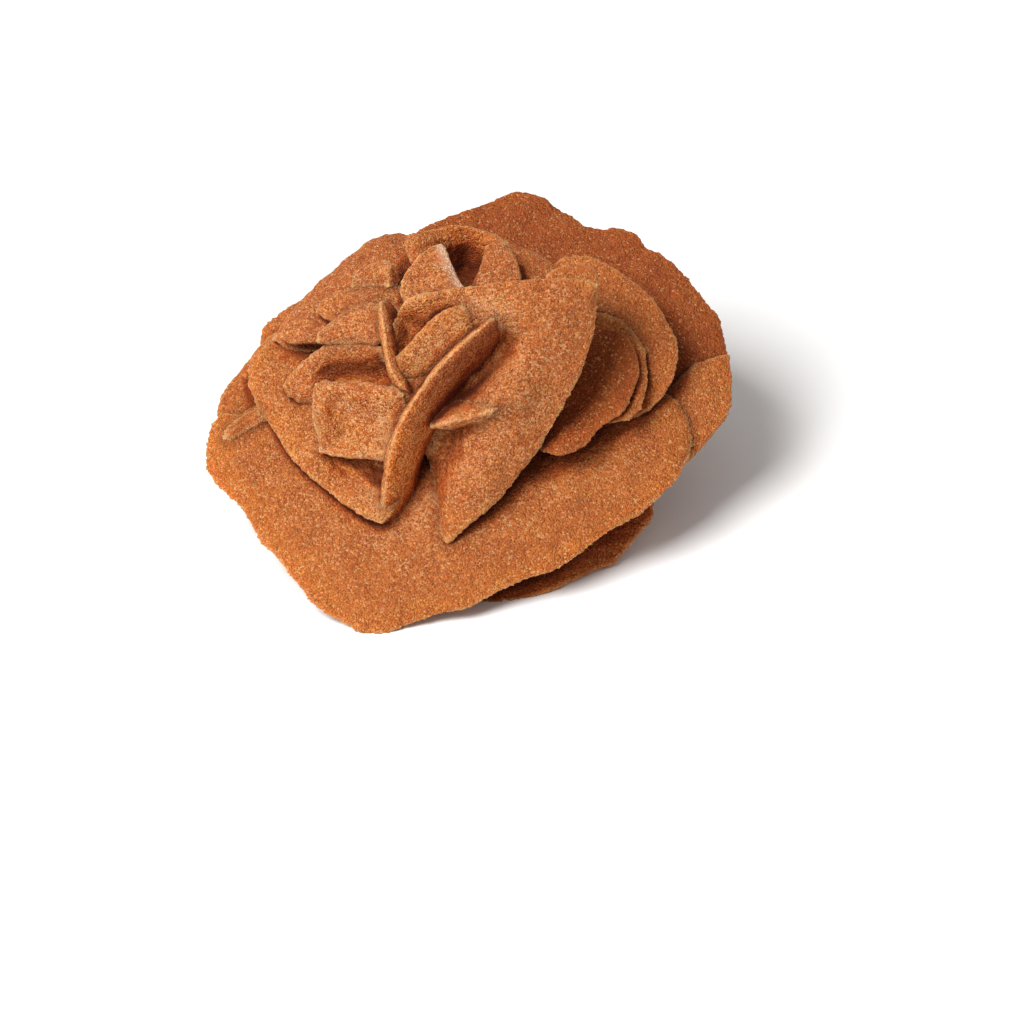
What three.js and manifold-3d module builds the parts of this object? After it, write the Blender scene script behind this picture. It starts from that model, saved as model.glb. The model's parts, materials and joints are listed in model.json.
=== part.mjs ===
// A gypsum sand rose: flat lens-shaped crystals grown through each other, resting on the edges of a few.
// Every crystal is a solid of its own. Lengths are in millimetres and +Z is up.

import * as THREE from "three";
import { mergeVertices } from "three/addons/utils/BufferGeometryUtils.js";
import Module from "manifold-3d";

const wasm = await Module();
wasm.setup();

// ---- driving dimensions ----
const FACE_TURN = 55; // degrees from a drawing laid flat to the rose's leaning face
const BED_LEAN = 25; // degrees that the broad plates lean back from that face
const GAP = 0.38; // air left where one crystal stops against another
const FRONT_SHARE = 0.3; // part of a plate's swelling that is on its front face
const SLIVER = 0.1; // edges shorter than this are joined after a cut
const COARSE_SLIVER = 0.2; // the same, on a crystal that the front mostly hides
const SLOPE_STEP = 2; // width over which a plate's slope at its edge is taken
const RIM = 1.3; // thickness of a broad plate near its edge
const THIN_RIM = 1.0; // thickness of a small petal near its edge
const FLOOR = -18; // height of the floor, before the origin is moved down to it
const SLAB = 200; // side of the block that trims the feet flat

const BED_SLOPE = Math.tan(THREE.MathUtils.degToRad(BED_LEAN));
const TURN = new THREE.Matrix4().makeRotationX(THREE.MathUtils.degToRad(FACE_TURN));

// ---- the colours of the sand that the gypsum holds ----
const AMBER = 0xc27a42;
const TAWNY = 0xb56c3a;
const RUSSET = 0xa0592e;
const PALE = 0xcf9468;

// Height of the broad plates' common plane over the face drawing, x to the right and y up it.
function bed(y) {
  return -BED_SLOPE * y;
}

// A smooth hill of the given height, for a plate that swells or sinks round a point.
function hill(x, y, centreX, centreY, reach, height) {
  const far = ((x - centreX) ** 2 + (y - centreY) ** 2) / (reach * reach);
  return height * Math.exp(-far);
}

// A groove along a line between two points, or a welt where the height is above zero.
function groove(x, y, [fromX, fromY], [toX, toY], reach, height) {
  const alongX = toX - fromX;
  const alongY = toY - fromY;
  const share = ((x - fromX) * alongX + (y - fromY) * alongY) / (alongX ** 2 + alongY ** 2);
  const t = THREE.MathUtils.clamp(share, 0, 1);
  return hill(x, y, fromX + t * alongX, fromY + t * alongY, reach, height);
}

// Joins rings of points, with a single point at each end, into a closed skin.
function closedSkin(rings, first, last, matrix) {
  const count = rings[0].length;
  const places = [first, ...rings.flat(), last];
  const position = new Float32Array(places.length * 3);
  places.forEach((place, i) => place.clone().applyMatrix4(matrix).toArray(position, i * 3));
  const index = [];
  const at = (ring, i) => 1 + ring * count + (i % count);
  const end = places.length - 1;
  for (let i = 0; i < count; i += 1) {
    index.push(0, at(0, i), at(0, i + 1));
    for (let ring = 0; ring + 1 < rings.length; ring += 1) {
      index.push(at(ring, i), at(ring + 1, i), at(ring + 1, i + 1));
      index.push(at(ring, i), at(ring + 1, i + 1), at(ring, i + 1));
    }
    index.push(end, at(rings.length - 1, i + 1), at(rings.length - 1, i));
  }
  const geometry = new THREE.BufferGeometry();
  geometry.setAttribute("position", new THREE.BufferAttribute(position, 3));
  geometry.setIndex(index);
  return geometry;
}

function toSolid(geometry) {
  const bare = geometry.clone();
  bare.deleteAttribute("normal");
  bare.deleteAttribute("uv");
  const merged = mergeVertices(bare, 1e-5);
  const vertProperties = new Float32Array(merged.attributes.position.array);
  const triVerts = new Uint32Array(merged.index.array);
  const solid = new wasm.Manifold(new wasm.Mesh({ numProp: 3, vertProperties, triVerts }));
  return solid;
}

// A plate follows a height over the face drawing. It is thickest in the middle, with a rounded rim, and
// swells more behind than in front. Its outline runs anticlockwise, and `grown` adds to it all round.
function plate(shape, grown = 0) {
  const { outline, height, rim = RIM, middle = 4, front = FRONT_SHARE } = shape;
  const { points = 28, rings = [0.5, 0.85, 0.97] } = shape;
  const matrix = shape.placed ?? TURN;
  const curve = new THREE.CatmullRomCurve3(
    outline.map(([x, y]) => new THREE.Vector3(x, y, 0)), true, "catmullrom", 0.5,
  );
  const edge = curve.getSpacedPoints(points).slice(0, points);
  const centre = new THREE.Vector3();
  edge.forEach((place) => centre.addScaledVector(place, 1 / points));
  if (shape.centre) {
    centre.set(shape.centre[0], shape.centre[1], 0);
  }
  const half = (t, side) => {
    const lip = (rim / 2 + grown) * Math.sqrt(1 - t ** 8);
    return lip + (side > 0 ? front : 1 - front) * (middle - rim) * (1 - t * t);
  };
  // One direction for the whole plate's thickness, so that a groove can't fold its skin.
  const step = SLOPE_STEP / 2;
  const normal = new THREE.Vector3();
  edge.forEach(({ x, y }) => {
    const slopeX = (height(x + step, y) - height(x - step, y)) / SLOPE_STEP;
    const slopeY = (height(x, y + step) - height(x, y - step)) / SLOPE_STEP;
    normal.add(new THREE.Vector3(-slopeX, -slopeY, 1).normalize());
  });
  normal.normalize();
  const put = (place, t, side) => {
    const away = place.clone().sub(centre);
    const length = away.length();
    away.multiplyScalar(length > 0 ? (t * length + t ** 8 * grown) / length : 0);
    const { x, y } = away.add(centre);
    return new THREE.Vector3(x, y, height(x, y)).addScaledVector(normal, side * half(t, side));
  };
  const layers = [
    ...rings.map((t) => [t, 1]),
    [1, 1],
    ...[...rings].reverse().map((t) => [t, -1]),
  ];
  const skin = layers.map(([t, side]) => edge.map((place) => put(place, t, side)));
  return toSolid(closedSkin(skin, put(edge[0], 0, 1), put(edge[0], 0, -1), matrix));
}

// Squares a circle's sine or cosine a little, for a blade with blunt edges.
function blunt(value) {
  return Math.sign(value) * Math.abs(value) ** 0.7;
}

// A fin is a crystal seen edge-on: a crest line, with a blade running down from it that widens to its foot.
function fin(shape, grown = 0) {
  const { crest, down, thick, foot = thick, points = 14, around = 8 } = shape;
  const line = new THREE.CatmullRomCurve3(crest.map((place) => new THREE.Vector3(...place)));
  const drop = new THREE.Vector3(...down);
  const reach = drop.length() / 2 + grown;
  const sink = drop.clone().normalize();
  const rings = [];
  for (let i = 0; i < points; i += 1) {
    const u = i / (points - 1);
    const along = line.getTangentAt(u);
    const across = new THREE.Vector3().crossVectors(along, sink).normalize();
    const swell = Math.sqrt(1 - 0.93 * (2 * u - 1) ** 6);
    const middle = line.getPointAt(u).addScaledVector(drop, 0.5);
    const ring = [];
    for (let j = 0; j < around; j += 1) {
      const angle = (j / around) * 2 * Math.PI;
      const place = middle.clone();
      place.addScaledVector(sink, -blunt(Math.cos(angle)) * reach * (0.75 + 0.25 * swell));
      const width = THREE.MathUtils.lerp(thick, foot, (1 - Math.cos(angle)) / 2);
      place.addScaledVector(across, blunt(Math.sin(angle)) * (width / 2 + grown) * swell);
      ring.push(place);
    }
    rings.push(ring);
  }
  const ends = [0, 1].map((u) => {
    const out = line.getTangentAt(u).multiplyScalar(u === 0 ? -1 : 1);
    return line.getPointAt(u).addScaledVector(drop, 0.5).addScaledVector(out, thick * 0.3 + grown);
  });
  return toSolid(closedSkin(rings, ends[0], ends[1], TURN));
}

// A hidden crystal: an oval blade, leaning from the upright and then turned round it.
function oval({ at, yaw, lean, width, tall, thick }) {
  const count = 12;
  const outline = Array.from({ length: count }, (_, i) => {
    const angle = (i / count) * 2 * Math.PI;
    const wobble = 1 + 0.07 * Math.sin(3 * angle + yaw) + 0.05 * Math.sin(5 * angle);
    return [Math.cos(angle) * width * 0.5 * wobble, Math.sin(angle) * tall * 0.5 * wobble];
  });
  const turn = new THREE.Euler(
    THREE.MathUtils.degToRad(90 - lean), 0, THREE.MathUtils.degToRad(yaw), "ZYX",
  );
  const placed = new THREE.Matrix4().makeRotationFromEuler(turn).setPosition(...at);
  const height = (x, y) => 0.0035 * x * x - 0.002 * y * y;
  const rings = [0.6, 0.94];
  return { kind: plate, coarse: true, outline, height, middle: thick, front: 0.5, points: 18, rings, placed };
}

// ---- the crystals, the one that keeps its whole shape before the ones that stop against it ----
const crystals = {
  // The broad lower plate that faces forward, with the front lobe that it rests on.
  base_plate: {
    colour: AMBER, kind: plate, points: 64, centre: [-3, -8], middle: 6,
    outline: [
      [-38.9, -5.5], [-38.2, -9.5], [-36, -12], [-32.5, -15], [-31, -18.4], [-28, -21.4],
      [-25.2, -25], [-22.4, -28.5], [-18, -31], [-14, -33], [-9.5, -31.6], [-5, -29.8], [0, -28.8],
      [6, -25.5], [13.5, -22.8], [20, -18], [25.5, -14.8], [30, -10.5], [32.6, -6], [32.4, -2.6],
      [31, 0.8], [27, 4], [18, 10], [6, 13], [-8, 12], [-20, 8], [-29, 2.4], [-33.4, -0.6],
      [-37, -0.6],
    ],
    height: (x, y) => 0.5 + bed(y) + hill(x, y, -22, -14, 11, -0.7) + hill(x, y, 12, -16, 12, 0.5)
      + hill(x, y, -39, -6, 7, -1.2) + hill(x, y, 33, -5, 8, -0.8) + hill(x, y, -14, -34, 8, -0.8),
  },
  // The tall blade in front, whose right edge stands free over a deep gap.
  front_sail: {
    colour: AMBER, kind: plate, points: 44, centre: [1, 4], middle: 10, front: 0.1,
    rings: [0.14, 0.28, 0.42, 0.56, 0.7, 0.84, 0.96],
    outline: [
      [18.8, 18.4], [14, 19], [10, 18.9], [5, 18.5], [0, 17.8], [-4, 17.1], [-8.6, 16.4], [-11, 12],
      [-10.5, 5], [-8.5, -2], [-5.6, -8], [-4.4, -14], [-3.6, -19.4], [-1.5, -18.3], [1, -16],
      [4.5, -13], [7, -10], [9, -7.5], [11, -4.5], [13.5, 0], [15.5, 4], [17, 7], [18, 10],
      [18.5, 12.6], [18.4, 15.4],
    ],
    height: (x, y) => 12.4 + 0.09 * (y + 19) + groove(x, y, [-4.2, -3.6], [-7.4, -13], 4.6, -6)
      + groove(x, y, [5.4, 9.6], [-1, 2.8], 2.8, -5) + hill(x, y, -4.5, 11, 5, -3.6)
      + groove(x, y, [-9, 13], [-8.6, 10], 2.4, -2.4) + groove(x, y, [0, 0.8], [8, 2.4], 2.2, 1.2)
      + groove(x, y, [19, 14], [7, -11], 5, -1.8) + groove(x, y, [-2, -4.4], [4, -3], 2, -1.2),
  },
  // The fan left of the ridge, low over the base plate at its rim and swelling to the middle.
  left_fan: {
    colour: AMBER, kind: plate, points: 38, centre: [-18, -2], middle: 5,
    rings: [0.25, 0.45, 0.62, 0.8, 0.96],
    outline: [
      [-32.2, 8], [-32.4, 5.2], [-32, 2.8], [-30.5, 0], [-28.5, -3], [-26.5, -6.4], [-24.6, -8.4],
      [-21.6, -11], [-17, -14.5], [-12.6, -16.7], [-10.4, -13], [-8.8, -6], [-8, 2], [-9, 8],
      [-14, 11], [-20, 12.6], [-27, 11.4],
    ],
    height: (x, y) => bed(y) + 2.4 + hill(x, y, -7, 0, 14, 5.6) + hill(x, y, -13, -16, 7, 1)
      + groove(x, y, [-18.5, -8.4], [-13, -9.5], 2.6, -2.4)
      + groove(x, y, [-24.4, 2.6], [-23.8, -4], 1.8, -1.2),
  },
  // The long ridge that crosses the face, an edge-on crystal.
  cross_ridge: {
    colour: PALE, kind: fin, points: 22, thick: 1, foot: 6, around: 10, down: [2.7, -1.6, -9.5],
    crest: [
      [5, 14.4, 14.4], [3.6, 13.2, 16.2], [0.4, 10.6, 17.4], [-3, 7.4, 17.9], [-5.2, 5, 17.9],
      [-7.6, 1.6, 17.8], [-9.5, -1.4, 17.4], [-10.9, -4.6, 16.8], [-11.7, -8, 15.8], [-12.2, -12, 14],
      [-12.8, -16.4, 11.2],
    ],
  },
  // Short ridge on the sail.
  side_ridge: {
    colour: PALE, kind: fin, points: 14, thick: 1.2, foot: 5, down: [0.4, 1.4, -6],
    crest: [[-5.4, -2.6, 14.2], [-2.4, -1.8, 15.6], [1, -1, 16.2], [4.4, 0.2, 16.2], [9, 2, 15.2]],
  },
  // Fan between the ridge and the top of the sail.
  inner_fan: {
    colour: AMBER, kind: plate, points: 24, rim: THIN_RIM, middle: 2.4, rings: [0.3, 0.55, 0.78, 0.94],
    outline: [
      [-10.4, 7.4], [-10, 4.4], [-8.4, 2.4], [-6, 3.4], [-3, 6.4], [0, 9.6], [4.2, 13.4], [2.6, 14.8],
      [-0.4, 15], [-3.4, 14.5], [-5.2, 13], [-7.4, 11], [-9, 9.2],
    ],
    height: (x, y) => 14.3 - 0.2 * (x + 2) + 0.24 * (y - 9),
  },
  // Narrow blade that closes the left end of that fan.
  upright_ridge: {
    colour: PALE, kind: fin, points: 14, thick: 0.9, foot: 4.4, down: [1.6, 0, -7],
    crest: [
      [-13, 15.6, 12.6], [-12.4, 12.4, 15], [-12, 9.5, 16], [-11.6, 7, 16.4], [-10.6, 4.6, 16.8],
      [-8.8, 2.6, 16.6],
    ],
  },
  // Petal with raised rims, boxed in between the ridge and the left fan.
  box_petal: {
    colour: PALE, kind: plate, points: 26, rim: 1.2, middle: 4, front: 0.12,
    rings: [0.25, 0.48, 0.68, 0.84, 0.96],
    outline: [
      [-22.4, 3.8], [-22.6, 0], [-21.4, -4], [-21.8, -6], [-18, -6.9], [-15, -7.1], [-11.6, -7.2],
      [-10, -2], [-9, 2.2], [-13, 3.6], [-16, 4.2], [-19.6, 4],
    ],
    height: (x, y) => 11.2 + 0.4 * (x + 16) + groove(x, y, [-18.8, 0.6], [-18.4, -3.4], 1.7, -2.2)
      + groove(x, y, [-20, 2.8], [-10, 2.6], 1.5, 0.9) + groove(x, y, [-19, -6.4], [-11, -6.4], 1.3, 0.8)
      + groove(x, y, [-15, -1.6], [-11.4, -2], 2.4, -1.2),
  },
  box_rib: {
    colour: PALE, kind: fin, points: 10, thick: 1.1, foot: 3.2, down: [1.2, 0, -4.6],
    crest: [[-21.4, 4, 10.2], [-22.2, 2, 10.2], [-22.2, -1, 10.2], [-21.2, -4, 10.4], [-21, -6.2, 10.2]],
  },
  shoulder_petal: {
    colour: AMBER, kind: plate, points: 24, rim: 1.2, middle: 5, front: 0.14, rings: [0.3, 0.55, 0.78, 0.94],
    outline: [
      [-27.4, 3.6], [-25, 1.4], [-20, 1.2], [-14, 2], [-10.6, 4], [-11.4, 8], [-14, 9.4],
      [-17.5, 9.7], [-21, 9.4], [-23.2, 8], [-25.2, 6.1],
    ],
    height: (x, y) => 6.6 + 0.42 * (x + 23) + 0.28 * (y - 7)
      + groove(x, y, [-19, 5.2], [-12.4, 5.4], 2.2, -3),
  },
  collar_petal: {
    colour: AMBER, kind: plate, points: 16, rim: THIN_RIM, middle: 5, front: 0.16, rings: [0.55, 0.92],
    outline: [
      [-22.4, 9.9], [-16, 9.8], [-12.4, 9.8], [-11.8, 13], [-12.8, 15.4], [-15, 15.3], [-17.2, 14.6],
      [-19.5, 13.4], [-20.8, 12.2],
    ],
    height: (x, y) => 9.6 + 0.34 * (x + 18) - 0.2 * (y - 11),
  },
  left_shoulder: {
    colour: TAWNY, kind: plate, points: 16, rim: 1.2, middle: 6, front: 0.16, rings: [0.55, 0.92],
    outline: [
      [-27.9, 10.6], [-26, 9.9], [-20, 9.8], [-14.4, 9.9], [-15, 13.6], [-19, 16.2], [-25, 15.4],
      [-26.8, 13.4],
    ],
    height: (x, y) => 5 + 0.4 * (x + 20) - 0.4 * (y - 11),
  },
  collar_band: {
    colour: TAWNY, kind: plate, points: 18, rim: 1.2, middle: 6, front: 0.16, rings: [0.55, 0.92],
    outline: [
      [-22.4, 14.4], [-18.5, 12.4], [-13, 12], [-7.6, 13.4], [-7.4, 16.6], [-12, 18.1], [-15, 17.7],
      [-18, 17.5], [-20.7, 16.6],
    ],
    height: (x, y) => 6.8 + 0.3 * (x + 17) - 0.6 * (y - 15.5),
  },
  // The small petals of the crown, round a dark hollow behind the sail.
  crown_petal_white: {
    colour: PALE, kind: plate, points: 20, rim: THIN_RIM, middle: 5, front: 0.12, rings: [0.4, 0.7, 0.92],
    outline: [
      [-10, 17], [-8, 14.6], [-4, 14.6], [-0.6, 16.8], [-1.6, 19], [-2.6, 21.2], [-3.3, 23.2],
      [-4.3, 24.4], [-6.2, 23.4], [-8.1, 21.4], [-9.5, 19.4],
    ],
    height: (x, y) => 11 - 0.6 * (y - 19) + 0.3 * (x + 6) + groove(x, y, [-7.6, 18], [-5, 22], 2, -0.8),
  },
  crown_petal_round: {
    colour: TAWNY, kind: plate, points: 20, rim: THIN_RIM, middle: 5, front: 0.12, rings: [0.4, 0.7, 0.92],
    outline: [
      [0.3, 17.6], [2, 15], [7, 15.4], [7.6, 18.6], [7.3, 20.8], [6.7, 22.6], [5.4, 24.1], [3.8, 24.6],
      [2.3, 24], [1.8, 21],
    ],
    height: (x, y) => 10 - 0.6 * (y - 19) + 0.3 * (x - 4),
  },
  crown_petal_back: {
    colour: TAWNY, kind: plate, points: 18, rim: THIN_RIM, middle: 6, front: 0.15, rings: [0.55, 0.92],
    outline: [
      [3.4, 21], [6, 17], [12, 15.6], [14, 18.6], [12.8, 21], [10.6, 22.8], [8, 23.8], [5.2, 24.2],
    ],
    height: (x, y) => 5.4 - 0.8 * (y - 20),
  },
  crown_arch: {
    colour: TAWNY, kind: plate, points: 26, rim: 1.2, middle: 3.6, front: 0.15, rings: [0.25, 0.48, 0.7, 0.9],
    centre: [-0.6, 21.4],
    outline: [
      [-9.6, 24.8], [-7, 19], [0, 16.6], [6, 19.6], [7, 23], [5, 25.2], [3, 26.2], [0, 27.2],
      [-2, 27.5], [-5, 26.8], [-8, 26.2],
    ],
    height: (x, y) => 4.6 - 0.6 * (y - 22) + hill(x, y, -0.6, 20, 4.6, -10.5)
      + groove(x, y, [-6, 26.4], [4, 25.6], 1, -0.8),
  },
  crown_spur: {
    colour: PALE, kind: plate, points: 16, rim: THIN_RIM, middle: 5, front: 0.15, rings: [0.55, 0.92],
    outline: [
      [-17.2, 18.4], [-15, 15.6], [-11, 15.6], [-9.9, 18.6], [-10.8, 20.8], [-12, 22], [-14, 21.6],
      [-16.4, 20.6],
    ],
    height: (x, y) => 5.6 + 0.3 * (x + 13) - 0.5 * (y - 19)
      + groove(x, y, [-11.6, 21.6], [-11.8, 18], 1, 1.2),
  },
  sail_corner: {
    colour: PALE, kind: plate, points: 16, rim: THIN_RIM, middle: 4, front: 0.15, rings: [0.55, 0.92],
    outline: [
      [11.2, 19.4], [12, 15], [16.6, 14], [18.8, 17.2], [18.6, 20], [17.4, 21.3], [15, 21.4],
      [13, 20.7],
    ],
    height: (x, y) => 12.2 - 0.4 * (y - 18),
  },
  // Petals stacked like tiles right of the gap.
  right_petal_inner: {
    colour: RUSSET, kind: plate, points: 26, centre: [16, 3], rim: THIN_RIM, middle: 2.2,
    rings: [0.4, 0.7, 0.88, 0.97],
    outline: [
      [24.2, 9.7], [21, 12.2], [15, 13], [10, 10], [8.6, 3], [9.4, -4.4], [12.2, -6.6], [15.5, -5.9],
      [17, -5], [18.6, -3.2], [20.6, -1.5], [22.6, -0.1], [24.2, 2.8], [24.9, 6],
    ],
    height: (x, y) => bed(y) + 8 + hill(x, y, 15, 4, 7, -3.4),
  },
  right_petal_middle: {
    colour: TAWNY, kind: plate, points: 16, rim: THIN_RIM, middle: 1.8, rings: [0.55, 0.92],
    outline: [
      [25.9, 8.6], [22, 13.6], [16, 14], [14, 6], [18, -0.6], [22, -1.8], [24.6, -0.8], [25.9, 2],
      [26.3, 5],
    ],
    height: (x, y) => bed(y) + 5.9 + hill(x, y, 15, 6, 8, -1.5),
  },
  right_petal_outer: {
    colour: TAWNY, kind: plate, points: 36, centre: [19, 10], middle: 4,
    outline: [
      [12, 21.5], [9, 15], [10, 6], [15, 0], [21, -1.4], [26.4, 0], [28.6, 2.4], [30.1, 4.6],
      [30.8, 7.4], [30.7, 10], [29.6, 12.6], [27.6, 16], [25.4, 18.2], [23, 20.1], [20, 21.9],
      [17.4, 23], [14.8, 22.8],
    ],
    height: (x, y) => bed(y) + 3.6 + 0.16 * (y - 4) + hill(x, y, 18, 8, 8, -2),
  },
  // Plates round the back of the rose, each a little behind the last.
  back_dome: {
    colour: TAWNY, kind: plate, coarse: true, points: 28, centre: [-14, 17], middle: 10, front: 0.2,
    outline: [
      [-29, 10.6], [-22, 8], [-12, 9], [-4, 13], [-2, 20], [-4.6, 24.4], [-9.8, 26.3], [-12.6, 26.2],
      [-15.2, 25], [-17.4, 23.2], [-20, 21], [-22.6, 18.6], [-25.2, 15.8], [-27.6, 12.6],
    ],
    height: (x, y) => bed(y) + 4 + hill(x, y, -9, 17, 12, 5.4),
  },
  right_rim_plate: {
    colour: TAWNY, kind: plate, points: 24, centre: [29, -1], middle: 2.6,
    outline: [
      [38.4, 8.4], [36, 7.9], [33, 6.6], [30, 3.6], [26, 1.4], [21, 0], [19, -5], [22, -10],
      [28, -9.6], [33.2, -6.5], [36, -3.2], [38.2, -0.4], [38.8, 4],
    ],
    height: (x, y) => bed(y) - 1.5 + hill(x, y, 38, 3, 6, -0.8),
  },
  left_rim_plate: {
    colour: TAWNY, kind: plate, points: 22, centre: [-28, 3], middle: 3,
    outline: [
      [-37.2, -0.4], [-34, -4], [-27, -5], [-19, -2], [-17, 6], [-21, 12.4], [-27.4, 12.4],
      [-30.2, 10.4], [-32.2, 8.3], [-34.2, 5.6], [-36.4, 3],
    ],
    height: (x, y) => bed(y) - 1.9,
  },
  left_spur: {
    colour: PALE, kind: fin, points: 10, thick: 2.4, down: [0.6, -1, -3],
    crest: [[-36, -4, 2.9], [-33, -1.6, 2.9], [-29.4, 0.4, 2.8]],
  },
  back_plate: {
    colour: RUSSET, kind: plate, points: 56, centre: [14, 14], middle: 6,
    outline: [
      [-14, 22], [-15, 14], [-8, 4], [6, -4], [20, -6], [31, -4], [37.6, 2], [38.2, 8.4],
      [37.4, 12.2], [36.8, 14.4], [34, 18], [31, 21.5], [29, 23.3], [26.5, 24.3], [25.3, 26.5],
      [22, 27.6], [18, 27.5], [15, 29.4], [12.4, 31], [10.4, 32.8], [6, 33.1], [2.6, 31.4],
      [0, 30.5], [-4.4, 28.9], [-9.4, 26.1],
    ],
    height: (x, y) => bed(y) - 3.8 + hill(x, y, 8, 33, 9, -1) + hill(x, y, 30, 18, 10, 0.8),
  },
  // The crystal seen under the base plate, with an edge on the floor.
  under_plate: {
    colour: TAWNY, kind: plate, points: 28, centre: [11, -17], middle: 4,
    outline: [
      [26, -10], [19, -7], [9, -8], [0, -13], [-4, -22], [1, -28], [5, -28.4], [10, -27.1],
      [15, -25.1], [19, -23.1], [21, -22.9], [22.6, -21], [24.6, -18.4], [26.6, -16.6], [27.3, -14],
    ],
    height: (x, y) => 8.2 - 0.86 * (y + 28) + hill(x, y, 20, -23, 4, -1.4),
  },
  // Blades that the sail and the crown grow from, hidden from the front.
  sail_root: {
    colour: RUSSET, kind: fin, coarse: true, points: 12, thick: 5, down: [-2, 1, -11],
    crest: [[-1, -9, 10.4], [3, 0, 11], [7, 9, 11]],
  },
  crown_root: {
    colour: RUSSET, ...oval({ at: [0, 12, 12], yaw: 0, lean: -55, width: 34, tall: 24, thick: 6 }),
  },
  // Crystals that stand under the rose on their edges, hidden from the front.
  rear_foot_left: {
    colour: RUSSET, ...oval({ at: [-17, 15, -6], yaw: 125, lean: 8, width: 32, tall: 27, thick: 6.5 }),
  },
  rear_foot_right: {
    colour: RUSSET, ...oval({ at: [16, 18, -5.2], yaw: 52, lean: -8, width: 33, tall: 29, thick: 6.5 }),
  },
  rear_foot_middle: {
    colour: RUSSET, ...oval({ at: [-1, 25, -3], yaw: 92, lean: 4, width: 28, tall: 33, thick: 6 }),
  },
  rear_fan_left: {
    colour: TAWNY, ...oval({ at: [-12, 16, 0], yaw: 18, lean: 52, width: 38, tall: 28, thick: 6 }),
  },
  rear_fan_right: {
    colour: TAWNY, ...oval({ at: [13, 20, 1], yaw: -14, lean: 58, width: 40, tall: 30, thick: 6 }),
  },
  under_fan: {
    colour: RUSSET, ...oval({ at: [-6, 0, -9], yaw: 4, lean: 30, width: 44, tall: 20, thick: 6 }),
  },
  under_fan_left: {
    colour: TAWNY, ...oval({ at: [-20, 2, -6], yaw: 150, lean: 34, width: 24, tall: 20, thick: 5 }),
  },
  under_fan_right: {
    colour: TAWNY, ...oval({ at: [17, 5, -7], yaw: 30, lean: 40, width: 26, tall: 20, thick: 5 }),
  },
  rear_petal_left: {
    colour: TAWNY, ...oval({ at: [-6, 27, -1], yaw: 62, lean: 30, width: 24, tall: 22, thick: 5 }),
  },
  rear_petal_right: {
    colour: TAWNY, ...oval({ at: [9, 30, 6], yaw: 130, lean: 28, width: 24, tall: 22, thick: 5 }),
  },
};

// A cut can leave chips beside the crystal. Only the crystal stays.
function largest(solid) {
  return solid.decompose().sort((a, b) => b.volume() - a.volume())[0];
}

// ---- each crystal stops against the ones before it, and the floor trims the feet flat ----
const ground = toSolid(new THREE.BoxGeometry(SLAB, SLAB, SLAB).translate(0, 0, FLOOR - SLAB / 2));
const group = new THREE.Group();
const solids = [];
let occupied = ground;
for (const [name, shape] of Object.entries(crystals)) {
  const cut = shape.kind(shape).subtract(occupied);
  const solid = largest(largest(cut).simplify(shape.coarse ? COARSE_SLIVER : SLIVER));
  occupied = occupied.add(shape.kind(shape, GAP)).simplify(SLIVER);
  solids.push([name, shape.colour, solid]);
}

const whole = new THREE.Box3();
for (const [name, colour, solid] of solids) {
  const { vertProperties, triVerts } = solid.getMesh();
  const geometry = new THREE.BufferGeometry();
  geometry.setAttribute("position", new THREE.BufferAttribute(vertProperties, 3));
  geometry.setIndex(new THREE.BufferAttribute(triVerts, 1));
  geometry.computeVertexNormals();
  geometry.computeBoundingBox();
  whole.union(geometry.boundingBox);
  const material = new THREE.MeshStandardMaterial({ color: colour, roughness: 0.85, metalness: 0 });
  const mesh = new THREE.Mesh(geometry, material);
  mesh.name = name;
  group.add(mesh);
}

// The origin is on the floor, under the middle of the rose.
const middle = whole.getCenter(new THREE.Vector3());
group.position.set(-middle.x, -middle.y, -whole.min.z);

export default group;
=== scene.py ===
import json
import math

import bmesh
import bpy
import numpy as np
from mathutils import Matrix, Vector
from mathutils.bvhtree import BVHTree


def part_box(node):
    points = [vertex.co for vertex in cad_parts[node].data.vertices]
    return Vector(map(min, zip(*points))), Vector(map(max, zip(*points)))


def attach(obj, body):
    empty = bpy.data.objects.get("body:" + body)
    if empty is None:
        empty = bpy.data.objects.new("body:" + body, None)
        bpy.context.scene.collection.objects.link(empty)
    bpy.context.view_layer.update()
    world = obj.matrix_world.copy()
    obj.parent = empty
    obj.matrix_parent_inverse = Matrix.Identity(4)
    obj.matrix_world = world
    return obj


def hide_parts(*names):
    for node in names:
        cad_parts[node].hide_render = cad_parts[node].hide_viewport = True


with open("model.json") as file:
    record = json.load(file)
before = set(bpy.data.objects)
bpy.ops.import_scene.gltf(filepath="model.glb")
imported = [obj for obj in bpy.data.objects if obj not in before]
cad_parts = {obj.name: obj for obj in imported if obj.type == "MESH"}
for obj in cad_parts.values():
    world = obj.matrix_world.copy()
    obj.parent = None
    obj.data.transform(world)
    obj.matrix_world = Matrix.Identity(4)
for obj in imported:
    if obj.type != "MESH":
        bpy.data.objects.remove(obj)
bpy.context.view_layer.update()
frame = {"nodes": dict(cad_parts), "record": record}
nodes = frame["nodes"]
slot_of = {entry["node"]: entry["material_slot"] for entry in frame["record"]["subparts"]}
MM = 0.001
print("crystals:", len(nodes))

# %% [markdown]
# ## The camera
# The rose leans back, and is looked at along the normal of its leaning face: from the front and 35 degrees
# above the floor. A long lens far away keeps the blades in front from looking larger than the ones behind.
# %% Place the camera
ELEVATION = math.radians(35)
LENS_MM = 250
HALF_SENSOR_MM = 18
VIEW_WIDTH = 150.6 * MM
LOOK_AT = Vector((6.35, -12.9, 5.84)) * MM

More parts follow.
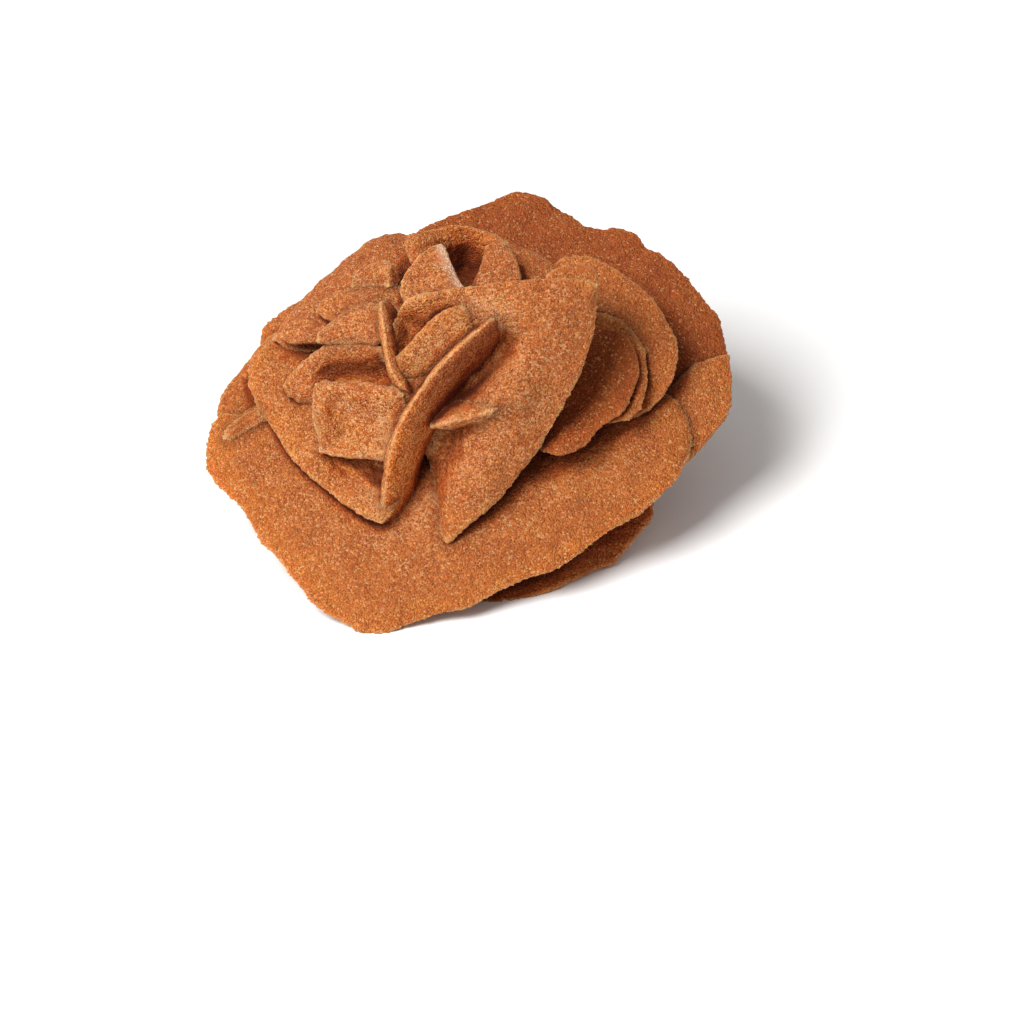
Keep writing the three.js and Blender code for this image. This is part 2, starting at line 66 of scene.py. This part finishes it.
toward_camera = Vector((0, -math.cos(ELEVATION), math.sin(ELEVATION)))
distance = VIEW_WIDTH / 2 / (HALF_SENSOR_MM / LENS_MM)
camera = bpy.data.objects.new("camera", bpy.data.cameras.new("camera"))
camera.data.lens = LENS_MM
camera.data.clip_end = 10
camera.location = LOOK_AT + toward_camera * distance
camera.rotation_euler = (math.radians(90) - ELEVATION, 0, 0)
bpy.context.scene.collection.objects.link(camera)
bpy.context.scene.camera = camera
print("camera at", [round(value, 3) for value in camera.location])

# %% [markdown]
# ## Floor and light
# The floor is a plain pale sheet. One broad lamp at the upper left gives the soft shading, with the deep
# gaps dark on their right sides. The pale surroundings fill the rest.
# %% Lay the floor
FLOOR_HALF_WIDTH = 3
FLOOR_COLOUR = (0.93, 0.92, 0.91, 1)
SURROUNDINGS_COLOUR = (1.0, 0.99, 0.98, 1)
SURROUNDINGS_STRENGTH = 0.41

floor_bm = bmesh.new()
bmesh.ops.create_grid(floor_bm, x_segments=1, y_segments=1, size=FLOOR_HALF_WIDTH)
floor_mesh = bpy.data.meshes.new("floor")
floor_bm.to_mesh(floor_mesh)
floor_bm.free()
floor = bpy.data.objects.new("floor", floor_mesh)
bpy.context.scene.collection.objects.link(floor)
pale = bpy.data.materials.new("pale_floor")
pale.use_nodes = True
pale.node_tree.nodes["Principled BSDF"].inputs["Base Color"].default_value = FLOOR_COLOUR
pale.node_tree.nodes["Principled BSDF"].inputs["Roughness"].default_value = 0.6
floor_mesh.materials.append(pale)

# %% Set the lamps
bpy.context.scene.view_settings.view_transform = "Standard"
LAMP_TARGET = Vector((0, 0, 20)) * MM


def area_lamp(name, azimuth, elevation, away, size, power):
    """A square lamp that faces the rose. Its azimuth is 0 in front of the rose and 90 on its right."""
    around, up = math.radians(azimuth), math.radians(elevation)
    direction = Vector((math.sin(around) * math.cos(up), -math.cos(around) * math.cos(up), math.sin(up)))
    lamp = bpy.data.objects.new(name, bpy.data.lights.new(name, "AREA"))
    lamp.data.size = size
    lamp.data.energy = power
    lamp.location = direction * away + LAMP_TARGET
    lamp.rotation_mode = "QUATERNION"
    lamp.rotation_quaternion = direction.to_track_quat("Z", "Y")
    bpy.context.scene.collection.objects.link(lamp)
    return lamp


area_lamp("key", azimuth=-48, elevation=50, away=0.9, size=0.45, power=12)
world = bpy.data.worlds.new("studio")
bpy.context.scene.world = world
world.use_nodes = True
world.node_tree.nodes["Background"].inputs["Color"].default_value = SURROUNDINGS_COLOUR
world.node_tree.nodes["Background"].inputs["Strength"].default_value = SURROUNDINGS_STRENGTH

# %% [markdown]
# ## Sandy gypsum
# The gypsum is clear, and the sand in it is not. The colour is that of the grains: mostly orange-brown
# quartz, with some pale and some dark ones. A pattern of cells stands for the grains, some 0.3 mm wide and
# some 0.17 mm. Each cell has its own tint, and each wide one its own gloss, so a few of them glint. Crests
# are rubbed pale and frosted, with a painted highlight on top. Hidden places get painted shade, a deep
# red-brown. Light that goes in comes out again up to two millimetres away, red light the furthest, which is
# subsurface scattering.
#
# The tints also depend on the shape, and some of them are painted light and shade. Six attributes of the
# grown
# surface say where: crease, depth, thin, crest, bank and salt. Two more, lit_flank and dim_flank, mark the
# sides of the two ridges that face away from the lamp, for painted glow and painted shade.
# %% Grains and tints
GRAIN = 0.3 * MM
FINE_GRAIN = 0.17 * MM
PATCH_SCALE = 170
DUST_SCALE = 420
BUMP_HEIGHT = 0.3 * MM
SCATTER_REACH = 1.8 * MM
SCATTER_COLOURS = (1.0, 0.34, 0.1)
PALE_GRAIN = (0.74, 0.4, 0.18)
SALT = (0.82, 0.58, 0.4)
NOTHING = (0, 0, 0)
ALL = (1, 1, 1)
GRAIN_TINTS = [
    (0.0, (0.64, 0.54, 0.46)),
    (0.3, (0.93, 0.89, 0.86)),
    (0.75, (1.05, 1.07, 1.08)),
    (1.0, (1.28, 1.42, 1.5)),
]
# Painted glow: the tint that lightens thin rims and ridges.
GLOW = (1.1, 1.12, 0.95)
# Painted shade: the warm tint multiplied into places that are partly hidden.
PAINTED_SHADE_WARMTH = (0.95, 0.66, 0.42)
# Painted glow and painted shade for the ridge sides that face away from the lamp.
LIT_FLANK = (1.3, 1.12, 0.82)
DIM_FLANK = (0.72, 0.52, 0.42)

# The middle of the face, where loose grains gather, in metres.
HEART = (-0.008, -0.014, 0.03)
HEART_REACH = 30 * MM


# %% Node helpers
def node(tree, kind, settings=None, **inputs):
    """Adds a shader node. Settings are its own options, and inputs are values or sockets to link. An input is
    named, or numbered as i0, i1 and so on."""
    made = tree.nodes.new(kind)
    for name, value in (settings or {}).items():
        setattr(made, name, value)
    for name, value in inputs.items():
        socket = made.inputs[int(name[1:])] if name[0] == "i" and name[1:].isdigit() else made.inputs[name]
        if isinstance(value, bpy.types.NodeSocket):
            tree.links.new(value, socket)
        else:
            socket.default_value = value
    return made


def ramp(tree, factor, stops):
    """A colour ramp from (position, colour) stops."""
    made = node(tree, "ShaderNodeValToRGB", i0=factor)
    band = made.color_ramp
    while len(band.elements) < len(stops):
        band.elements.new(0.5)
    for element, (position, colour) in zip(band.elements, stops):
        element.position = position
        element.color = (*colour, 1)
    return made.outputs["Color"]


def math_node(tree, operation, first, second, third=None):
    """The result of a math node on sockets or numbers."""
    made = tree.nodes.new("ShaderNodeMath")
    made.operation = operation
    for socket, value in zip(made.inputs, (first, second, third)):
        if isinstance(value, bpy.types.NodeSocket):
            tree.links.new(value, socket)
        elif value is not None:
            socket.default_value = value
    return made.outputs[0]


def mix(tree, factor, first, second, blend="MIX"):
    """The first colour with a share of the second blended in."""
    made = tree.nodes.new("ShaderNodeMix")
    made.data_type = "RGBA"
    made.blend_type = blend
    for index, value in ((0, factor), (6, first), (7, second)):
        if isinstance(value, bpy.types.NodeSocket):
            tree.links.new(value, made.inputs[index])
        elif isinstance(value, tuple):
            made.inputs[index].default_value = (*value, 1)
        else:
            made.inputs[index].default_value = value
    return made.outputs[2]


# %% Sandy gypsum material
def sandy_gypsum(name, body, sugar, crease, crest):
    """Gypsum full of sand: its body colour, its share of loose pale grains (sugar), the colour of its dark
    grains and of the painted shade where it is hidden (crease), and its tint where it is rubbed pale, with a
    painted highlight on top (crest)."""
    material = bpy.data.materials.new(name)
    material.use_nodes = True
    tree = material.node_tree
    surface = tree.nodes["Principled BSDF"]
    place = node(tree, "ShaderNodeTexCoord").outputs["Object"]

    def attribute(kind):
        return node(tree, "ShaderNodeAttribute", {"attribute_name": kind}).outputs["Fac"]

    # Each cell is one grain, with its own tint. Fine ones lie between the coarse ones.
    coarse = node(tree, "ShaderNodeTexVoronoi", Vector=place, Scale=1 / GRAIN)
    fine = node(tree, "ShaderNodeTexVoronoi", Vector=place, Scale=1 / FINE_GRAIN)
    tint = node(tree, "ShaderNodeSeparateColor", Color=coarse.outputs["Color"])
    fine_tint = node(tree, "ShaderNodeSeparateColor", Color=fine.outputs["Color"])
    patches = node(tree, "ShaderNodeTexNoise", Vector=place, Scale=PATCH_SCALE, Detail=5, Roughness=0.62)
    dust = node(tree, "ShaderNodeTexNoise", Vector=place, Scale=DUST_SCALE, Detail=6, Roughness=0.75)

    red, green, blue = body
    darker = (red * 0.84, green * 0.78, blue * 0.76)
    lighter = (red * 1.08, green * 1.14, blue * 1.1)
    colour = ramp(tree, patches.outputs["Fac"], [(0.3, darker), (0.5, body), (0.72, lighter)])

    # The grains show most round the heart of the rose, and loose pale ones lie there in drifts.
    away = node(tree, "ShaderNodeVectorMath", {"operation": "DISTANCE"}, i0=place, i1=HEART).outputs["Value"]
    heart = node(
        tree, "ShaderNodeMapRange", i0=away, i1=HEART_REACH, i2=0.4 * HEART_REACH, i3=0.3, i4=1.0).outputs[0]
    shown = math_node(tree, "MULTIPLY_ADD", heart, 0.55, 0.5)
    for cell in (tint, fine_tint):
        colour = mix(tree, shown, colour, ramp(tree, cell.outputs["Green"], GRAIN_TINTS), "MULTIPLY")
    drift = ramp(tree, dust.outputs["Fac"], [(0.4, NOTHING), (0.66, ALL)])
    sheltered = ramp(tree, attribute("depth"), [(0.02, NOTHING), (0.12, ALL), (0.35, NOTHING)])
    share = math_node(tree, "MULTIPLY_ADD", drift, 1.2 * sugar, 0.4 * sugar)
    share = math_node(tree, "MULTIPLY_ADD", sheltered, 0.5 * sugar, share)
    share = math_node(tree, "MULTIPLY", share, heart)
    banked = math_node(tree, "MULTIPLY_ADD", drift, 0.5, 0.15)
    banked = math_node(tree, "MULTIPLY", attribute("bank"), banked)
    share = math_node(tree, "ADD", share, banked)
    for cell in (tint, fine_tint):
        loose = math_node(tree, "LESS_THAN", cell.outputs["Red"], share)
        colour = mix(tree, math_node(tree, "MULTIPLY", loose, 0.55), colour, PALE_GRAIN)
    dark = math_node(tree, "LESS_THAN", fine_tint.outputs["Blue"], math_node(tree, "MULTIPLY", heart, 0.3))
    colour = mix(tree, math_node(tree, "MULTIPLY", dark, 0.36), colour, crease)

    # Painted shade: places near a neighbour and hidden places are painted first warmer, then in the crease
    # colour.
    colour = mix(tree, math_node(tree, "MULTIPLY", attribute("crease"), 0.5), colour, crease)
    painted_warm_shade = ramp(tree, attribute("depth"), [(0.06, NOTHING), (0.26, ALL)])
    colour = mix(tree, painted_warm_shade, colour, PAINTED_SHADE_WARMTH, "MULTIPLY")
    deep = ramp(tree, attribute("depth"), [(0.2, NOTHING), (0.58, ALL)])
    colour = mix(tree, deep, colour, crease)

    # Painted glow: thin rims and ridges are lightened as if light came through them, and the ridge sides away
    #     from the lamp get a painted glow low down and painted shade high up. Crests are rubbed pale and
    #     frosted, with a painted highlight on top, and one edge is white with salt.
    colour = mix(tree, attribute("thin"), colour, GLOW, "MULTIPLY")
    colour = mix(tree, attribute("lit_flank"), colour, LIT_FLANK, "MULTIPLY")
    colour = mix(tree, attribute("dim_flank"), colour, DIM_FLANK, "MULTIPLY")
    sharp = math_node(tree, "POWER", attribute("crest"), 1.3)
    frost_and_highlight = math_node(tree, "MULTIPLY", sharp, math_node(tree, "MULTIPLY_ADD", drift, 0.45, 0.5))
    colour = mix(tree, frost_and_highlight, colour, crest)
    salt = math_node(tree, "MULTIPLY", attribute("salt"), math_node(tree, "MULTIPLY_ADD", drift, 0.5, 0.4))
    colour = mix(tree, salt, colour, SALT)
    tree.links.new(colour, surface.inputs["Base Color"])

    gloss = ramp(tree, tint.outputs["Blue"], [(0.0, (0.3,) * 3), (0.12, (0.62,) * 3), (0.3, (0.88,) * 3)])
    tree.links.new(gloss, surface.inputs["Roughness"])
    rise = math_node(tree, "MULTIPLY", tint.outputs["Red"], 0.9)
    rise = math_node(tree, "MULTIPLY_ADD", coarse.outputs["Distance"], -1.3, rise)
    rise = math_node(tree, "ADD", rise, math_node(tree, "MULTIPLY", fine.outputs["Distance"], -0.5))
    rise = math_node(tree, "ADD", rise, math_node(tree, "MULTIPLY", dust.outputs["Fac"], 1.2))
    bump = node(tree, "ShaderNodeBump", Height=rise, Strength=1.0, Distance=BUMP_HEIGHT)
    tree.links.new(bump.outputs["Normal"], surface.inputs["Normal"])

    surface.inputs["Subsurface Weight"].default_value = 0.5
    surface.inputs["Subsurface Radius"].default_value = SCATTER_COLOURS
    surface.inputs["Subsurface Scale"].default_value = SCATTER_REACH
    surface.inputs["Specular IOR Level"].default_value = 0.22
    surface.inputs["IOR"].default_value = 1.52
    return material


# The four finishes differ as the sand in them does, and the russet one is also darker as painted shade, for
# crystals that lie in shade.
gypsum = {
    "gypsum_amber": sandy_gypsum(
        "gypsum_amber", (0.49, 0.143, 0.033), 0.22, (0.12, 0.016, 0.0015), (0.74, 0.4, 0.16)),
    "gypsum_tawny": sandy_gypsum(
        "gypsum_tawny", (0.46, 0.13, 0.032), 0.2, (0.1, 0.013, 0.0012), (0.66, 0.34, 0.14)),
    "gypsum_russet": sandy_gypsum(
        "gypsum_russet", (0.36, 0.086, 0.019), 0.1, (0.085, 0.011, 0.001), (0.5, 0.19, 0.055)),
    "gypsum_pale": sandy_gypsum(
        "gypsum_pale", (0.47, 0.13, 0.028), 0.26, (0.13, 0.016, 0.001), (0.84, 0.46, 0.2)),
}
print("finishes:", sorted(gypsum))

# %% [markdown]
# ## The grown surface
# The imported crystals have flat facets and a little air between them. A real one is soft-edged, lumpy and
# grown onto its neighbours. Sculpting forty crystals by hand would take days. A voxel remesh rounds and
# evens out each solid, and displacing it by cloudy noise gives the lumps. What a noise can't know is where
# the crystals touch, so that is measured: a point near a neighbour swells outward, which makes the soft
# fillet at the foot of each ridge.
# %% Mesh helpers
SEAM = 0.001 * MM
SWELL = 0.08 * MM
VOXEL = 0.23 * MM
TRIANGLE_LIMIT = 185000
coarser = 1.0


def merged_copy(name):
    """A copy of a packed crystal with its loose triangles sewn together, and its surface area."""
    bm = bmesh.new()
    bm.from_mesh(nodes[name].data)
    bmesh.ops.remove_doubles(bm, verts=bm.verts, dist=SEAM)
    area = sum(face.calc_area() for face in bm.faces)
    mesh = bpy.data.meshes.new(name + "_sewn")
    bm.to_mesh(mesh)
    bm.free()
    return mesh, area


def clouds(name, size, depth=2):
    """A cloudy noise texture whose lumps are of the given size."""
    texture = bpy.data.textures.new(name, "CLOUDS")
    texture.noise_scale = size
    texture.noise_depth = depth
    texture.noise_basis = "ORIGINAL_PERLIN"
    return texture


def displace(piece, name, texture, strength, level=0.5):
    """Moves the surface along its normals, by a texture where there is one."""
    modifier = piece.modifiers.new(name, "DISPLACE")
    modifier.texture = texture
    modifier.texture_coords = "LOCAL"
    modifier.strength = strength
    modifier.mid_level = level
    return modifier


def applied(piece):
    """The piece's mesh with its modifiers applied."""
    graph = bpy.context.evaluated_depsgraph_get()
    return bpy.data.meshes.new_from_object(piece.evaluated_get(graph), depsgraph=graph)


# %% Round each crystal
sewn = {name: merged_copy(name) for name in sorted(nodes)}
pieces = {}
for name, (mesh, area) in sewn.items():
    piece = bpy.data.objects.new("grown_" + name, mesh)
    bpy.context.scene.collection.objects.link(piece)
    displace(piece, "swell", None, SWELL, 0.0)
    rounder = piece.modifiers.new("rounder", "REMESH")
    rounder.mode = "VOXEL"
    rounder.voxel_size = max(VOXEL, math.sqrt(2 * area / TRIANGLE_LIMIT)) * coarser
    rounder.use_smooth_shade = True
    softer = piece.modifiers.new("softer", "SMOOTH")
    softer.factor = 0.5
    softer.iterations = 2
    pieces[name] = piece
for name, piece in pieces.items():
    rounded = applied(piece)
    piece.modifiers.clear()
    piece.data = rounded
print("rounded:", sum(len(piece.data.polygons) for piece in pieces.values()), "faces")

# %% [markdown]
# ### Where crystals touch, hide and thin out
# Wind, sand and light reach a crystal unevenly, so its colour follows the shape. Painting that by hand on
# forty pieces would not survive a change to the crystals. Each cause is measured on the points instead,
# with search trees and rays, and kept as an attribute that the finish reads:
#
# - crease: how close a neighbour's surface is. The swelling follows it, and fades out over two millimetres.
# - depth: how much of the view outward is blocked by crystals.
# - thin: how little gypsum lies behind the surface.
# - crest: how far the point stands out from its smoothed surroundings. The ragged teeth of the rims follow
#   it too.
# - salt: the white edge of one petal of the crown.
# - bank: how close the cross ridge is, since loose sand is banked against it.
# - lit_flank and dim_flank: the far side of a ridge from the lamp, at its lower and its upper end.
# %% Distances and directions
FILLET_REACH = 1.9 * MM
FILLET_RISE = 0.38 * MM
SHELTER_REACH = 13 * MM
RAY_SPREAD = 0.8
RAY_STEP = 3
RAY_ROUNDS = 8
CLEAR = 0.5 * MM
SKIN = 0.05 * MM
THIN = 1.3 * MM
THICK = 2.7 * MM
BANK_REACH = 4.5 * MM
RIDGES = ("cross_ridge", "upright_ridge")

# The direction away from the lamp, across the two ridges.
LEE = (0.83, -0.316, -0.45)
LEE_FROM = 0.22
LEE_OVER = 0.4
UPPER_FROM = 0.4
UPPER_OVER = 0.35
SALT_BAND = 0.4 * MM
SALT_WIDTH = 1.6 * MM
SALT_START = 1.15
CREST_ROUNDS = 14
SETTLE_ROUNDS = 2
CREASE_ROUNDS = 3
RIM_LEVELS = 4
FLAT = 0.03 * MM
SHARP = 0.16 * MM
UP_THE_FACE = np.array([0, math.sin(ELEVATION), math.cos(ELEVATION)])


# %% Search trees
def points_of(mesh, kind="co"):
    """The places (co), or the normals, of a mesh's points as rows of numbers."""
    values = np.empty(len(mesh.vertices) * 3, np.float32)
    source = mesh.vertices if kind == "co" else mesh.vertex_normals
    source.foreach_get("co" if kind == "co" else "vector", values)
    return values.reshape(-1, 3)


trees = {}
for name, (mesh, area) in sewn.items():
    tree = BVHTree.FromPolygons(
        [v.co.copy() for v in mesh.vertices], [tuple(p.vertices) for p in mesh.polygons])
    low, high = (np.array(corner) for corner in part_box(name))
    trees[name] = (tree, low - FILLET_REACH, high + FILLET_REACH)

sewn_points = []
sewn_faces = []
for mesh, area in sewn.values():
    first = len(sewn_points)
    sewn_points += [v.co.copy() for v in mesh.vertices]
    sewn_faces += [tuple(first + i for i in p.vertices) for p in mesh.polygons]
everything = BVHTree.FromPolygons(sewn_points, sewn_faces)
print("search trees:", len(trees), "and one of", len(sewn_faces), "faces")


# %% Measures of the shape
def softened(values, edges, rounds):
    """Each point's value, averaged with its neighbours a number of times."""
    count = np.bincount(edges.ravel(), minlength=len(values)).astype(np.float32)
    count = np.maximum(count, 1)[:, None]
    values = values.reshape(len(values), -1).astype(np.float64)
    for _ in range(rounds):
        total = np.zeros_like(values)
        for column in range(values.shape[1]):
            total[:, column] = np.bincount(edges[:, 0], values[edges[:, 1], column], len(values))
            total[:, column] += np.bincount(edges[:, 1], values[edges[:, 0], column], len(values))
        values = 0.5 * values + 0.5 * total / count
    return values


def tilted(normal):
    """Four directions spread about a normal."""
    side = normal.orthogonal().normalized()
    other = normal.cross(side)
    for turn in (0, 90, 180, 270):
        angle = math.radians(turn)
        yield (normal + RAY_SPREAD * (side * math.cos(angle) + other * math.sin(angle))).normalized()


def hidden_share(distance):
    """How much a crystal at this distance hides: all at 0, none at the reach or where there is none."""
    return 0 if distance is None else 1 - distance / SHELTER_REACH


def nearness(name, places):
    """1 at each place on a neighbour's surface, fading to 0 at the fillet's reach."""
    near = np.zeros(len(places), np.float32)
    for other, (tree, low, high) in trees.items():
        if other == name:
            continue
        inside = np.nonzero(np.all((places > low) & (places < high), axis=1))[0]
        for i in inside.tolist():
            found = tree.find_nearest(places[i], FILLET_REACH)
            if found[3] is not None:
                near[i] = max(near[i], 1 - found[3] / FILLET_REACH)
    return near


def shelter(name, places, normals, edges):
    """How hidden each place is, and how thin the crystal is there. Rays go out and in from every third point,
    and the points between take the average."""
    own = trees[name][0]
    found = np.zeros((len(places), 3))
    for i in range(0, len(places), RAY_STEP):
        outward = Vector(normals[i])
        start = Vector(places[i]) + outward * CLEAR
        struck = [everything.ray_cast(start, way, SHELTER_REACH)[3] for way in tilted(outward)]
        hidden = sum(hidden_share(distance) for distance in struck)
        through = own.ray_cast(start, -outward, THICK)[3] or 0
        far = own.ray_cast(start - outward * (through + SKIN), -outward, THICK)[3]
        thin = 0 if far is None or through == 0 else np.clip((THICK - far) / (THICK - THIN), 0, 1)
        found[i] = hidden / len(struck), thin, 1
    spread = softened(found, edges, RAY_ROUNDS)
    return (spread[:, :2] / np.maximum(spread[:, 2:], 1e-9)).T


def salt_line(name, places):
    """The white petal of the crown has salt in a band along its right edge, the largest x at each height."""
    if name != "crown_petal_white":
        return np.zeros(len(places))
    up_face = places @ UP_THE_FACE
    band = ((up_face - up_face.min()) / SALT_BAND).astype(int)
    edge = np.full(band.max() + 1, -1.0)
    np.maximum.at(edge, band, places[:, 0])
    return np.clip(SALT_START - (edge[band] - places[:, 0]) / SALT_WIDTH, 0, 1)


def bank_of_sand(name, places):
    """1 at the cross ridge's surface, fading to 0 at the reach of the pale sand that is banked against it."""
    near = np.zeros(len(places))
    if name == "cross_ridge":
        return near
    tree, low, high = trees["cross_ridge"]
    inside = np.nonzero(np.all((places > low - BANK_REACH) & (places < high + BANK_REACH), axis=1))[0]
    for i in inside.tolist():
        found = tree.find_nearest(places[i], BANK_REACH)
        if found[3] is not None:
            near[i] = 1 - found[3] / BANK_REACH
    return near


def flanks(name, places, normals):
    """The side of a ridge that faces away from the lamp: glowing at the lower end, and dim at the upper."""
    if name not in RIDGES:
        return np.zeros((2, len(places)))
    away = np.clip((normals @ np.array(LEE) - LEE_FROM) / LEE_OVER, 0, 1)
    up_face = places @ UP_THE_FACE
    upper = (up_face - up_face.min()) / (up_face.max() - up_face.min())
    upper = np.clip((upper - UPPER_FROM) / UPPER_OVER, 0, 1)
    return away * (1 - upper), away * upper


def keep_attribute(mesh, name, values):
    """Stores one number at each point of the mesh, for the finish to read."""
    made = mesh.attributes.new(name, "FLOAT", "POINT")
    made.data.foreach_set("value", np.ascontiguousarray(values, np.float32))


# %% Swell near the neighbours, and keep the measures
for name, piece in pieces.items():
    mesh = piece.data
    places, normals = points_of(mesh), points_of(mesh, "normal")
    edges = np.empty(len(mesh.edges) * 2, np.int32)
    mesh.edges.foreach_get("vertices", edges)
    edges = edges.reshape(-1, 2)
    near = softened(nearness(name, places), edges, CREASE_ROUNDS)[:, 0]
    smooth_places = softened(places, edges, CREST_ROUNDS)
    bulge = np.einsum("ij,ij->i", places - smooth_places, normals)
    crest = np.clip((softened(bulge, edges, SETTLE_ROUNDS)[:, 0] - FLAT) / (SHARP - FLAT), 0, 1)
    places = places + normals * (near ** 2 * FILLET_RISE)[:, None]
    mesh.vertices.foreach_set("co", np.ascontiguousarray(places, np.float32).ravel())
    depth, thin = shelter(name, places, normals, edges)
    lit_flank, dim_flank = flanks(name, places, normals)
    keep_attribute(mesh, "lit_flank", lit_flank)
    keep_attribute(mesh, "dim_flank", dim_flank)
    keep_attribute(mesh, "bank", bank_of_sand(name, places))
    # Crests keep no frost or painted highlight on the ridge sides that get painted glow and painted shade.
    crest = crest * (1 - 0.8 * np.maximum(lit_flank, dim_flank))
    keep_attribute(mesh, "thin", thin)
    keep_attribute(mesh, "salt", salt_line(name, places))
    keep_attribute(mesh, "crest", crest)
    keep_attribute(mesh, "depth", depth)
    keep_attribute(mesh, "crease", near)
    mesh.update()
    rim = piece.vertex_groups.new(name="rim")
    for level in range(1, RIM_LEVELS + 1):
        chosen = np.nonzero(np.round(crest * RIM_LEVELS) == level)[0]
        rim.add(chosen.tolist(), level / RIM_LEVELS, "REPLACE")
print("swollen:", sum(len(piece.data.vertices) for piece in pieces.values()), "points")

# %% [markdown]
# ### Lumps, knobs, pits and teeth
# Grains and small crystals overgrow the surface, from lumps of four millimetres down to pits of half a
# millimetre, and leave the rims ragged. Each size is one cloudy noise, and they add up. The teeth follow
# the rims only. A point that would sink below the floor is set on it.
# %% Lumps, knobs, pits and teeth
lumps = clouds("lumps", 4.2 * MM)
knobs = clouds("knobs", 1.3 * MM)
pits = clouds("pits", 0.5 * MM, 1)
teeth = clouds("teeth", 0.7 * MM, 1)
for name, piece in pieces.items():
    displace(piece, "lumps", lumps, 0.75 * MM)
    displace(piece, "knobs", knobs, 0.36 * MM)
    displace(piece, "pits", pits, 0.2 * MM)
    displace(piece, "teeth", teeth, 0.6 * MM).vertex_group = "rim"
for name, piece in pieces.items():
    grown = applied(piece)
    places = points_of(grown)
    places[:, 2] = np.maximum(places[:, 2], 0)
    grown.vertices.foreach_set("co", places.ravel())
    grown.update()
    piece.modifiers.clear()
    piece.data = grown
    piece.data.name = "grown_" + name
    piece.data.materials.clear()
    piece.data.materials.append(gypsum[slot_of[name]])
    piece.data.shade_smooth()
    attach(piece, "root")
    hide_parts(name)
triangles = {name: sum(len(p.vertices) - 2 for p in piece.data.polygons) for name, piece in pieces.items()}
print("triangles:", sum(triangles.values()), "largest:", max(triangles.values()))
